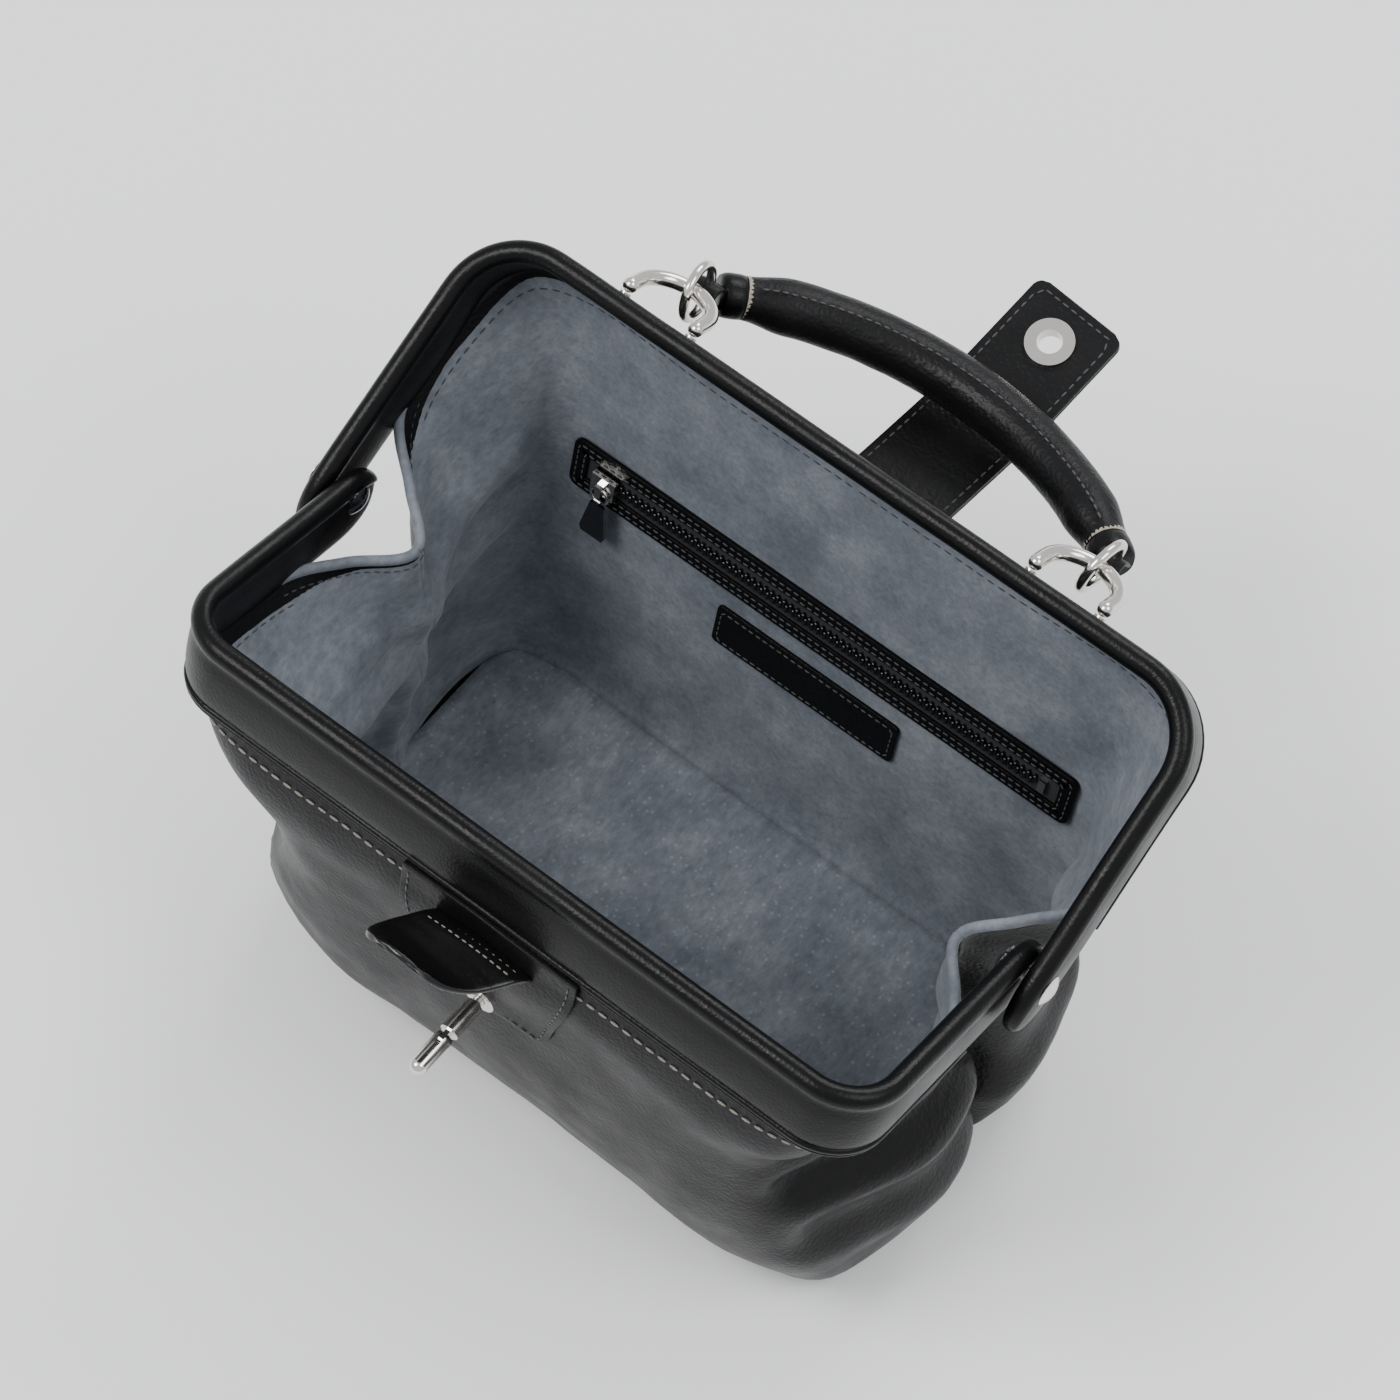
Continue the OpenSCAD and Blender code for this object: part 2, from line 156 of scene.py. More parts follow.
def add(material, kind, **settings):
    node = material.node_tree.nodes.new(kind)
    for name, value in settings.items():
        if name in node.inputs:
            node.inputs[name].default_value = value
        else:
            setattr(node, name, value)
    return node


def join(material, source, target):
    material.node_tree.links.new(source, target)


def noise_field(material, scale, detail=3.0, rough=0.55, stretch=None):
    """A noise texture on Object coordinates; scale is in waves a metre."""
    where = add(material, "ShaderNodeTexCoord").outputs["Object"]
    if stretch:
        mapping = add(material, "ShaderNodeMapping", Scale=stretch)
        join(material, where, mapping.inputs["Vector"])
        where = mapping.outputs["Vector"]
    texture = add(material, "ShaderNodeTexNoise", Scale=scale, Detail=detail, Roughness=rough)
    join(material, where, texture.inputs["Vector"])
    return texture.outputs["Fac"]


def cell_field(material, scale, feature="F1"):
    where = add(material, "ShaderNodeTexCoord").outputs["Object"]
    texture = add(material, "ShaderNodeTexVoronoi", feature=feature, Scale=scale)
    join(material, where, texture.inputs["Vector"])
    return texture.outputs["Distance"]


def ramp(material, field, stops):
    """A colour ramp: stops are (place, grey or colour)."""
    node = add(material, "ShaderNodeValToRGB")
    elements = node.color_ramp.elements
    while len(elements) < len(stops):
        elements.new(0.5)
    for element, (place, colour) in zip(elements, stops):
        element.position = place
        element.color = (*colour, 1.0) if hasattr(colour, "__len__") else (colour, colour, colour, 1.0)
    join(material, field, node.inputs["Fac"])
    return node.outputs["Color"]


def bumps(material, layers):
    """Stacks (field, strength, depth in mm) layers of bump on the shader."""
    normal = None
    for field, strength, depth in layers:
        node = add(material, "ShaderNodeBump", Strength=strength, Distance=depth * MM)
        join(material, field, node.inputs["Height"])
        if normal:
            join(material, normal, node.inputs["Normal"])
        normal = node.outputs["Normal"]
    shader = material.node_tree.nodes["Principled BSDF"]
    join(material, normal, shader.inputs["Normal"])


def drive(material, socket, colour):
    join(material, colour, material.node_tree.nodes["Principled BSDF"].inputs[socket])


# %% Leather
def leather(name, shade, low, high, grain, depth, coat=0.0):
    """Black leather: shade is its colour, low to high its roughness, grain its cells a metre."""
    material = new_material(name, Roughness=high, Specular_IOR_Level=0.17, Coat_Weight=coat,
                            Coat_Roughness=0.22)
    wear = noise_field(material, 22.0, 4.0)
    drive(material, "Base Color", ramp(material, wear, [(0.3, shade), (0.75, tuple(1.7 * c for c in shade))]))
    drive(material, "Roughness", ramp(material, noise_field(material, 60.0, 5.0), [(0.3, low), (0.7, high)]))
    bumps(material, [
        (noise_field(material, 70.0, 3.0), 0.25, 0.5),
        (cell_field(material, grain, "SMOOTH_F1"), 0.5, depth),
        (noise_field(material, grain * 2.2, 2.0), 0.35, depth * 0.6)])
    return material


BODY_LEATHER = leather("nappa", (0.0042, 0.0042, 0.0046), 0.32, 0.46, 800.0, 0.34)
FRAME_LEATHER = leather("satin_nappa", (0.0022, 0.0022, 0.0024), 0.26, 0.40, 1100.0, 0.16)
GRAIN_LEATHER = leather("grain_nappa", (0.007, 0.007, 0.0075), 0.36, 0.48, 760.0, 0.3)
GLAZED_LEATHER = leather("glazed_hide", (0.003, 0.003, 0.0033), 0.16, 0.26, 620.0, 0.22, coat=0.45)
STRAP_LINING = leather("strap_underside", (0.028, 0.029, 0.032), 0.5, 0.62, 700.0, 0.3)

# %% [markdown]
# Suede has no gloss: short fibres lie in different directions, so the same dye looks lighter and darker in
# patches. Slow noise makes the patches, fast noise the nap, and small pale dots are the hide's pores.

# %% Suede
def suede(name, pores):
    material = new_material(name, Roughness=0.95, Specular_IOR_Level=0.15, Sheen_Weight=0.2,
                            Sheen_Roughness=0.45, Sheen_Tint=(0.88, 0.93, 1.0, 1.0))
    tone = add(material, "ShaderNodeMix", data_type="RGBA", blend_type="MULTIPLY")
    tone.inputs["Factor"].default_value = 0.85
    patches = ramp(material, noise_field(material, 34.0, 7.0, 0.7),
                   [(0.32, (0.128, 0.146, 0.172)), (0.5, (0.195, 0.216, 0.246)), (0.68, (0.285, 0.308, 0.340))])
    nap = ramp(material, noise_field(material, 520.0, 4.0, 0.7, (1.0, 0.45, 1.0)), [(0.3, 0.62), (0.7, 1.0)])
    join(material, patches, tone.inputs["A"])
    join(material, nap, tone.inputs["B"])
    colour = tone.outputs["Result"]
    if pores:
        dots = add(material, "ShaderNodeMix", data_type="RGBA", blend_type="ADD")
        join(material, ramp(material, cell_field(material, 330.0), [(0.10, 0.085), (0.26, 0.0)]), dots.inputs["Factor"])
        join(material, colour, dots.inputs["A"])
        dots.inputs["B"].default_value = (0.75, 0.8, 0.85, 1.0)
        colour = dots.outputs["Result"]
    drive(material, "Base Color", colour)
    bumps(material, [(noise_field(material, 90.0, 3.0), 0.35, 0.8), (noise_field(material, 900.0, 3.0, 0.7), 0.5, 0.25)])
    return material


SUEDE = suede("brushed_suede", False)
FLOOR_SUEDE = suede("pored_suede", True)

# %% [markdown]
# Nickel is a warm grey mirror with a faint haze. The rivets' inner heads are the same metal in a dark finish.

# %% Metal, thread and zip
def metal(name, colour, low, high):
    material = new_material(name, Metallic=1.0, Base_Color=(*colour, 1.0))
    drive(material, "Roughness", ramp(material, noise_field(material, 180.0, 4.0), [(0.3, low), (0.7, high)]))
    bumps(material, [(noise_field(material, 260.0, 2.0), 0.06, 0.2)])
    return material


def woven(name, colour, threads):
    """Close-woven tape or sewing thread."""
    material = new_material(name, Roughness=0.75, Specular_IOR_Level=0.3, Sheen_Weight=0.2)
    strands = noise_field(material, threads, 2.0, 0.5, (1.0, 0.35, 1.0))
    drive(material, "Base Color", ramp(material, strands, [(0.3, tuple(0.6 * c for c in colour)), (0.7, colour)]))
    bumps(material, [(strands, 0.5, 0.2)])
    return material


NICKEL = metal("polished_nickel", (0.74, 0.71, 0.67), 0.10, 0.22)
DARK_NICKEL = metal("black_nickel", (0.16, 0.16, 0.17), 0.12, 0.24)
STEEL = metal("strip_steel", (0.5, 0.5, 0.5), 0.3, 0.45)
ZIP_TAPE = woven("tape_weave", (0.012, 0.012, 0.014), 1500.0)
ZIP_TOOTH = metal("tooth_metal", (0.07, 0.07, 0.075), 0.25, 0.4)
DARK_THREAD = woven("dark_thread", (0.075, 0.075, 0.078), 2600.0)
PALE_THREAD = woven("pale_thread", (0.27, 0.245, 0.21), 2600.0)
SUEDE_THREAD = woven("suede_thread", (0.055, 0.065, 0.08), 2600.0)
CORE_CORD = woven("core_twine", (0.4, 0.36, 0.28), 900.0)
BOARD = woven("base_fibre", (0.25, 0.19, 0.12), 300.0)
print(len(bpy.data.materials), "materials")

# %% [markdown]
# ## Tools for making pieces
# `publish` turns a bmesh into a finished piece on its body. `sweep` carries a section along a route by
# extruding its edges station by station. `sheet_grid` bends a flat grid into a wall.

# %% Making a piece
def publish(name, bm, material, body, replaces=(), shade_smooth=True, tidy=True):
    if tidy:
        bmesh.ops.remove_doubles(bm, verts=bm.verts, dist=1e-4)
        bmesh.ops.recalc_face_normals(bm, faces=bm.faces)
    bmesh.ops.scale(bm, vec=(MM, MM, MM), verts=bm.verts)
    mesh = bpy.data.meshes.new(name)
    bm.to_mesh(mesh)
    bm.free()
    for polygon in mesh.polygons:
        polygon.use_smooth = shade_smooth
    mesh.materials.append(material)
    piece = bpy.data.objects.new(name, mesh)
    bpy.context.collection.objects.link(piece)
    if body:
        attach(piece, body)
    if replaces:
        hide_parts(*replaces)
    print(name, len(mesh.polygons), "faces")
    return piece


def finish_with(piece, thickness=None, offset=-1.0, levels=0, edge=None, even=True):
    """Adds a leather's thickness, rounded edges and subdivision, in that order."""
    if thickness:
        solid = piece.modifiers.new("thickness", "SOLIDIFY")
        solid.thickness = thickness * MM
        solid.offset = offset
        solid.use_even_offset = even
    if edge:
        bevel = piece.modifiers.new("edges", "BEVEL")
        bevel.width = edge * MM
        bevel.segments = 2
        bevel.limit_method = "ANGLE"
        bevel.angle_limit = math.radians(50)
    if levels:
        rounding = piece.modifiers.new("rounding", "SUBSURF")
        rounding.levels = levels
        rounding.render_levels = levels
    return piece


def sweep(bm, section, stations, capped=True):
    """Extrudes a closed section along stations, each a 4x4 matrix from the section's plane."""
    ring = [bm.verts.new(stations[0] @ Vector((x, y, 0))) for x, y in section]
    edges = [bm.edges.new((ring[i - 1], ring[i])) for i in range(len(ring))]
    if capped:
        bmesh.ops.contextual_create(bm, geom=edges)
    at = stations[0]
    for station in stations[1:]:
        out = bmesh.ops.extrude_edge_only(bm, edges=edges)["geom"]
        verts = [g for g in out if isinstance(g, bmesh.types.BMVert)]
        edges = [g for g in out if isinstance(g, bmesh.types.BMEdge)]
        bmesh.ops.transform(bm, matrix=station @ at.inverted(), verts=verts)
        at = station
    if capped:
        bmesh.ops.contextual_create(bm, geom=edges)


def stations_along(route, up, scales=None):
    """Stations on a route: the section's x is up's cross with the route, its y is nearest to up."""
    out = []
    for i, point in enumerate(route):
        ahead = route[min(i + 1, len(route) - 1)]
        behind = route[max(i - 1, 0)]
        along = (ahead - behind).normalized()
        side = along.cross(up[i] if isinstance(up, list) else up).normalized()
        above = side.cross(along).normalized()
        size = scales[i] if scales else 1.0
        m = Matrix((side * size, above * size, along)).transposed().to_4x4()
        out.append(Matrix.Translation(point) @ m)
    return out


def round_section(r, n=16, squash=1.0):
    return [(r * math.cos(2 * math.pi * i / n), squash * r * math.sin(2 * math.pi * i / n)) for i in range(n)]


def sheet_grid(bm, across, up, place):
    """A grid of across by up faces, each point moved to place(a, t) with a and t from 0 to 1."""
    out = bmesh.ops.create_grid(bm, x_segments=across, y_segments=up, size=0.5)
    for v in out["verts"]:
        v.co = place(v.co.x + 0.5, v.co.y + 0.5)


# %% [markdown]
# ## Stitches
# A stitch is a short bead of thread that dips at both ends. There are over a thousand, so each one is a small
# ball of two dozen faces, pulled long and laid on its seam.

# %% Sewing
def sew(name, lines, material, body, pitch=3.4, length=2.5, r=0.32):
    """lines are lists of (point, outward) pairs; stitches are laid along each at an even pitch."""
    bm = bmesh.new()
    count = 0
    for line in lines:
        run = 0.0
        due = pitch / 2
        for (p, n), (q, _) in zip(line, line[1:]):
            step = (q - p).length
            while step > 1e-6 and run + step >= due:
                along = (q - p).normalized()
                side = n.cross(along).normalized()
                m = Matrix((along * length / 2, side * r, side.cross(along) * -r)).transposed().to_4x4()
                bmesh.ops.create_uvsphere(bm, u_segments=6, v_segments=4, radius=1.0,
                                          matrix=Matrix.Translation(p.lerp(q, (due - run) / step)) @ m
                                          @ Matrix.Rotation(math.pi / 2, 4, "Y"))
                due += pitch
                count += 1
            run += step
    bmesh.ops.recalc_face_normals(bm, faces=bm.faces)
    print(name, count, "stitches")
    return publish(name, bm, material, body, tidy=False)


# %% [markdown]
# ## The two half frames
# Each half is a belt of leather on edge, bent into a U round a steel strip. Its upper edge is rolled into a
# round rim. One section is swept round the U; the arms end in a wrapped, rounded tongue past the rivet.

# %% Route of a half frame
def half_route(bar_half, arm_half, reach, corner, tail, arc=12):
    """Points (x, u) and outward directions from the left arm's end round to the right arm's end."""
    cu = reach - corner
    right = []
    turn = math.atan2(arm_half - bar_half, cu)
    steps = 16
    for i in range(steps + 1):
        u = mix(-tail, cu, i / steps)
        x = mix(arm_half, bar_half, smooth(max(u, 0.0) / cu))
        right.append((Vector((x, u)), Vector((math.cos(turn / 2), math.sin(turn / 2)))))
    for i in range(1, arc + 1):
        a = math.pi / 2 * i / arc
        out = Vector((math.cos(a), math.sin(a)))
        right.append((Vector((bar_half - corner, cu)) + corner * out, out))
    for i in range(1, 11):
        right.append((Vector(((bar_half - corner) * (1 - i / 10), reach)), Vector((0.0, 1.0))))
    left = [(Vector((-p.x, p.y)), Vector((-o.x, o.y))) for p, o in right[:-1]]
    return left + right[::-1]


FRONT_ROUTE = half_route(FRONT_HALF_W, FRONT_HALF_W, FRONT_REACH, FRONT_CORNER, FRONT_TAIL)
BACK_ROUTE = half_route(BACK_BAR_HALF_W, BACK_HALF_W, BACK_REACH, BACK_CORNER, BACK_TAIL)


def wall_outline():
    """Section of a half frame: outward, up the wall. The rim is a roll set slightly outward."""
    points = [(0.0, EDGE - 0.6), (2.0, EDGE), (2.9, EDGE + 5), (3.1, -6.0), (2.9, -2.5), (2.5, 0.2), (2.55, 1.6)]
    for i in range(13):
        a = math.radians(mix(-42.0, 222.0, i / 12))
        points.append((0.1 + RIM_R * math.cos(a), CREST - RIM_R + RIM_R * math.sin(a)))
    return points + [(-2.4, 1.4), (-2.5, -2.0), (-2.8, -6.0), (-2.7, EDGE + 5), (-2.0, EDGE)]


def half_stations(route, place, lift=0.0, push=0.0):
    out = []
    for i, (p, o) in enumerate(route):
        at = place(p.x + push * o.x, p.y + push * o.y, lift)
        outward = place(p.x + o.x, p.y + o.y, 0) - place(p.x, p.y, 0)
        upward = place(p.x, p.y, 1) - place(p.x, p.y, 0)
        along = outward.cross(upward)
        out.append(Matrix.Translation(at) @ Matrix((outward, upward, along)).transposed().to_4x4())
    return out


def frame_cover(name, route, place, body, node, tail):
    """The covered wall. Its arms' ends are rounded by shrinking the last stations towards mid-wall."""
    mid = (CREST + EDGE) / 2
    stations = half_stations(route, place)
    ends = {0: 0.45, 1: 0.8, 2: 0.95}
    for i, size in ends.items():
        shrink = Matrix.Translation((0, mid, 0)) @ Matrix.Diagonal((mix(size, 1, 0.4), size, 1, 1)) \
            @ Matrix.Translation((0, -mid, 0))
        stations[i] = stations[i] @ shrink
        stations[-1 - i] = stations[-1 - i] @ shrink
    bm = bmesh.new()
    sweep(bm, wall_outline(), stations)
    for v in bm.verts:
        v.co += 0.22 * noise.noise_vector(v.co * 0.035)
    cover = publish(name, bm, FRAME_LEATHER, body, replaces=[node])
    return finish_with(cover, levels=2)


frame_cover("front_frame_leather", FRONT_ROUTE, front_half, "front_frame", "front_frame_cover", FRONT_TAIL)
frame_cover("back_frame_leather", BACK_ROUTE, back_half, "back_frame", "back_frame_cover", BACK_TAIL)

# %% [markdown]
# Under each wall a folded binding and a thin piping hide the edge where the body's leather is sewn on.

# %% Welts
def welt(name, route, place, body, node):
    bm = bmesh.new()
    short = route[7:-7]
    sweep(bm, round_section(1.25, 12), half_stations(short, place, EDGE - 0.7, 1.2))
    sweep(bm, round_section(0.7, 10), half_stations(short, place, EDGE - 2.4, 1.3))
    return publish(name, bm, FRAME_LEATHER, body, replaces=[node])


welt("front_welt_leather", FRONT_ROUTE, front_half, "front_frame", "front_welt")
welt("back_welt_leather", BACK_ROUTE, back_half, "back_frame", "back_welt")

# %% [markdown]
# ## The body's shape
# The body is one loft. At each height an outline runs from the middle of the front, round the front corner,
# along the end wall to its inward fold, and on round the back corner to the middle of the back. Heights differ
# round the outline, because the open frame slopes. The right end bulges more than the left.

# %% Heights and outlines
FRONT_Z = (1.5, 8, 30, 62, 94, 118, 140)
FRONT_Y = (54, 64, 77, 84.5, 87, 87.6, 88.6)
FRONT_R = {"left": (38, 44, 44, 38, 26, 20, 18), "right": (24, 26, 30, 30, 24, 20, 18)}
BACK_Z = (1.5, 8, 34, 68, 104, 136, 166)
BACK_Y = (58, 66.5, 72, 75.3, 79.8, 83.8, 87.6)
BACK_R = (18, 20, 20, 16, 12, 12, 18)
BACK_W = {"left": (110, 115, 117, 114, 110, 112, 122), "right": (113, 119, 121, 118, 112, 114, 123)}
FOLD_Z = (1.5, 8, 28, 54, 80, 103, 123)
FOLD_X = {"left": (106, 109, 107, 103, 100, 99, 101), "right": (112, 116, 113, 107, 102, 100, 102)}
FRONT_W = {"left": (108, 112, 114, 108, 94, 95, 112), "right": (114, 121, 123, 118, 106, 103, 115)}
LOBE = {"left": (0, 1, 3, 4, 5, 4, 3), "right": (0, 2, 5, 8, 11, 13, 9)}
FOLD_Y = {"left": (0, 0, 0, 1, 2, 3, 4), "right": (8, 10, 14, 16, 14, 10, 7)}
HEM_LEAVES, TUCK = 28.0, -15.0
COLUMNS = (9, 9, 5, 5, 8, 8, 9, 9, 8, 8, 5, 5, 9, 9)
ROWS = (3, 7, 9, 9, 8, 8, 8)


def curve_through(points, before, after, counts):
    """A smooth curve through points; counts are the samples in each span."""
    line = [before] + points + [after]
    out = []
    for i, count in enumerate(counts):
        p0, p1, p2, p3 = line[i:i + 4]
        a, b, c = ((q - p).length ** 0.5 + 1e-6 for p, q in ((p0, p1), (p1, p2), (p2, p3)))
        m1 = b * ((p1 - p0) / a - (p2 - p0) / (a + b) + (p2 - p1) / b)
        m2 = b * ((p2 - p1) / b - (p3 - p1) / (b + c) + (p3 - p2) / c)
        for k in range(count):
            f = k / count
            out.append(p1 * (2 * f ** 3 - 3 * f * f + 1) + m1 * (f ** 3 - 2 * f * f + f)
                       + p2 * (3 * f * f - 2 * f ** 3) + m2 * (f ** 3 - f * f))
    return out + [points[-1]]


def outline(side, i):
    """Control points at height i, right-handed; the left end is mirrored when it is laid."""
    w, fy, fr, fz = FRONT_W[side][i], -FRONT_Y[i], FRONT_R[side][i], FRONT_Z[i]
    bw, by, br, bz = BACK_W[side][i], BACK_Y[i], BACK_R[i], BACK_Z[i]
    fx, fold_y, fold_z, lobe = FOLD_X[side][i], FOLD_Y[side][i], FOLD_Z[i], LOBE[side][i]
    k = 0.293
    return [
        Vector((0, fy, fz)), Vector(((w - fr) / 2, fy, fz)), Vector((w - fr, fy, fz)),
        Vector((w - k * fr, fy + k * fr, fz)), Vector((w, fy + fr, mix(fz, fold_z, 0.15))),
        Vector((w + lobe, mix(fy + fr, fold_y, 0.45), mix(fz, fold_z, 0.5))),
        Vector((mix(w, fx, 0.55) + lobe, mix(fy + fr, fold_y, 0.8), mix(fz, fold_z, 0.85))),
        Vector((fx, fold_y, fold_z)),
        Vector((mix(bw, fx, 0.55) + lobe, mix(by - br, fold_y, 0.8), mix(bz, fold_z, 0.85))),
        Vector((bw + lobe * 0.7, mix(by - br, fold_y, 0.45), mix(bz, fold_z, 0.5))),
        Vector((bw, by - br, mix(bz, fold_z, 0.15))),
        Vector((bw - k * br, by - k * br, bz)), Vector((bw - br, by, bz)),
        Vector(((bw - br) / 2, by, bz)), Vector((0, by, bz))]


def top_outline():
    """The seam inside the frame's walls; between the arms it is a free hem that dips inwards."""
    k = 0.293
    w, r, u = FRONT_HALF_W - 0.4, FRONT_CORNER, FRONT_REACH + 0.6
    front = [(0, u), ((w - r) / 2, u), (w - r, u), (w - k * r, u - k * r), (w, u - r), (w, HEM_LEAVES)]
    w, r, u = BACK_BAR_HALF_W - 0.4, BACK_CORNER, BACK_REACH + 0.4
    back = [(w + 0.8, HEM_LEAVES), (w, u - r), (w - k * r, u - k * r), (w - r, u), ((w - r) / 2, u), (0, u)]
    dip = [Vector((117, -13, 144)), Vector((105, 5, 140)), Vector((118, 17, 147))]
    return [front_half(x, u, TUCK) for x, u in front] + dip + [back_half(x, u, TUCK) for x, u in back]


# %% [markdown]
# ## Folds and softness
# Slow noise makes the leather uneven, and a few long creases are pressed into the end walls where the bag has
# been folded shut many times. The stiff parts, such as the band round the zip, stay flat.

# %% Folds
END_CREASES = {
    "right": (((-72, 92), (6, 74), 4.5, 6.0), ((-66, 62), (6, 44), 3.0, 8.0), ((-30, 132), (-66, 118), 2.0, 7.0),
              ((24, 118), (64, 92), 3.0, 9.0), ((26, 46), (62, 60), 2.0, 9.0)),
    "left": (((-66, 104), (-8, 88), 3.0, 7.0), ((-58, 60), (-6, 48), 2.0, 9.0), ((10, 104), (60, 122), 3.0, 9.0),
             ((8, 66), (54, 84), 2.5, 9.0))}


def crease(y, z, a, b, depth, width):
    a, b, p = Vector(a), Vector(b), Vector((y, z))
    t = min(max((p - a).dot(b - a) / (b - a).length_squared, 0.0), 1.0)
    d = (p - a.lerp(b, t)).length
    lip = 0.55 * depth * math.exp(-((d - 1.9 * width) / width) ** 2)
    return lip - depth * math.exp(-(d / width) ** 2)


def relief(p, side):
    """How far the skin stands out from the loft at p, given as on the right-hand side."""
    end = smooth((abs(p.x) - 84) / 18) * smooth((88 - abs(p.y)) / 24)
    foot = smooth((p.z - 4) / 16)
    q = Vector((p.x if side == "right" else -p.x, p.y, p.z))
    soft = 1.5 * noise.noise(q * 0.017) + 0.7 * noise.noise(q * 0.045 + Vector((7, 0, 0)))
    fine = 0.22 * noise.noise(q * 0.13)
    folds = sum(crease(p.y, p.z, *c) for c in END_CREASES[side]) if end > 0.01 else 0.0
    firm = 1 - 0.85 * smooth((106 - abs(p.x)) / 10) * (p.y > 40)
    return foot * (folds * end + (soft * mix(0.65, 1.5, end) + fine) * firm)


def loft(side):
    """Rows of (point, outward) from foot to seam, in right-handed places."""
    rings = [outline(side, i) for i in range(7)] + [top_outline()]
    mirrored = Matrix.Diagonal((-1, 1, 1))
    rings = [curve_through(r, mirrored @ r[1], mirrored @ r[-2], COLUMNS) for r in rings]
    columns = []
    for j in range(len(rings[0])):
        line = [ring[j] for ring in rings]
        columns.append(curve_through(line, 2 * line[0] - line[1], 2 * line[-1] - line[-2], ROWS))
    last_row, last = len(columns[0]) - 1, len(columns) - 1
    rows = []
    for i in range(last_row + 1):
        row = []
        for j, column in enumerate(columns):
            along = columns[min(j + 1, last)][i] - columns[max(j - 1, 0)][i]
            along = Vector((1, 0, 0)) if j == 0 else Vector((-1, 0, 0)) if j == last else along
            outward = Vector((along.y, -along.x, 0)).normalized()
            fade = smooth((last_row - i) / 7)
            row.append((column[i] + outward * relief(column[i], side) * fade, outward))
        rows.append(row)
    return rows


LOFT = {side: loft(side) for side in ("left", "right")}
FOLD_COLUMN = sum(COLUMNS[:7])
FRONT_END, BACK_END = sum(COLUMNS[:4]), sum(COLUMNS[:10])
LAST_COLUMN, LAST_ROW = sum(COLUMNS), sum(ROWS)
print("loft:", LAST_COLUMN, "columns by", LAST_ROW, "rows a side")

# %% [markdown]
# ## Skins of the body
# A skin is a window of the loft's rows and columns. The leather is the loft itself with its thickness turned
# inwards. The suede lies a leather's thickness inside it.

# %% Laying skins
LEATHER_T, SUEDE_T = 1.6, 1.2


def skin_point(side, row, column, inset):
    p, outward = LOFT[side][row][column]
    depth = mix(inset, 0.5 * inset, smooth((row - LAST_ROW + 6) / 6)) if inset else 0.0
    p = p - outward * depth
    return Vector((-p.x, p.y, p.z)) if side == "left" else p


def lay_skin(bm, columns, rows, inset):
    """Columns below zero, or past the middle of the back, run round the left end."""
    c0, c1 = columns
    r0, r1 = rows

    def place(a, t):
        c = round(mix(c0, c1, a))
        r = round(mix(r0, r1, t))
        left = c < 0 or c > LAST_COLUMN
        return skin_point("left" if left else "right", r, 2 * LAST_COLUMN - c if c > LAST_COLUMN else abs(c), inset)

    sheet_grid(bm, c1 - c0, r1 - r0, place)
    bmesh.ops.recalc_face_normals(bm, faces=bm.faces)
    away = sum(f.normal.y * math.copysign(1, f.calc_center_median().y) for f in bm.faces) > 0
    if away == bool(inset):
        bmesh.ops.reverse_faces(bm, faces=bm.faces)


def skin(name, columns, rows, inset, material, replaces=()):
    bm = bmesh.new()
    lay_skin(bm, columns, rows, inset)
    piece = publish(name, bm, material, None, replaces=replaces, tidy=False)
    return finish_with(piece, thickness=SUEDE_T if inset else LEATHER_T, even=False)


def bend(piece, b):
    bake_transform(piece)


INSET = LEATHER_T + SUEDE_T
for layer, inset, low, material, tag, panel in (
        ("leather", 0.0, 0, BODY_LEATHER, "_gusset", "_panel"),
        ("suede", INSET, 2, SUEDE, "_gusset_lining", "_lining")):
    front = skin("front_" + layer, (-FOLD_COLUMN, FOLD_COLUMN), (low, LAST_ROW), inset, material,
                 ["front" + panel, "left" + tag])
    bend(front, "front_wall")
    half = LAST_COLUMN - FOLD_COLUMN
    back = skin("back_" + layer, (LAST_COLUMN - half, LAST_COLUMN + half), (low, LAST_ROW), inset, material,
                ["back" + panel, "right" + tag])
    bend(back, "back_wall")

# %% [markdown]
# ## Hems, floor and base
# Between the arms the end wall's free edge is bound by a folded strip. The floor is a suede sheet over a board,
# and the base is a doubled leather sole with a piped edge.

# %% Hems
def edge_run(side, first, last, down=0.0, inset=0.0, lift=0.0):
    """Points down mm below the seam, with their outward directions, lifted off the skin."""
    out = []
    for c in range(first, last + 1):
        left, row = down, LAST_ROW
        p = skin_point(side, row, c, inset)
        while left > 0 and row > 1:
            q = skin_point(side, row - 1, c, inset)
            step = (q - p).length
            if step >= left:
                p = p.lerp(q, left / step)
                break
            left, p, row = left - step, q, row - 1
        outward = LOFT[side][row][c][1].copy()
        outward.x *= -1 if side == "left" else 1
        outward = -outward if inset else outward
        out.append((p + outward * lift, outward))
    return out


HEM_FRONT, HEM_BACK = sum(COLUMNS[:5]), sum(COLUMNS[:9])
for side in ("left", "right"):
    for half, first, last, body, y in (("front", HEM_FRONT - 1, FOLD_COLUMN, "front_wall", -50),
                                       ("back", FOLD_COLUMN, HEM_BACK + 1, "back_wall", 50)):
        line = [p - n * 1.2 for p, n in edge_run(side, first, last)]
        bm = bmesh.new()
        section = [(1.7 * x, 1.9 * y2) for x, y2 in round_section(1.0, 14)]
        sweep(bm, section, stations_along(line, Vector((0, 0, 1))))
        hem = publish(side + "_hem_" + half, bm, SUEDE, None)
        bend(hem, body)


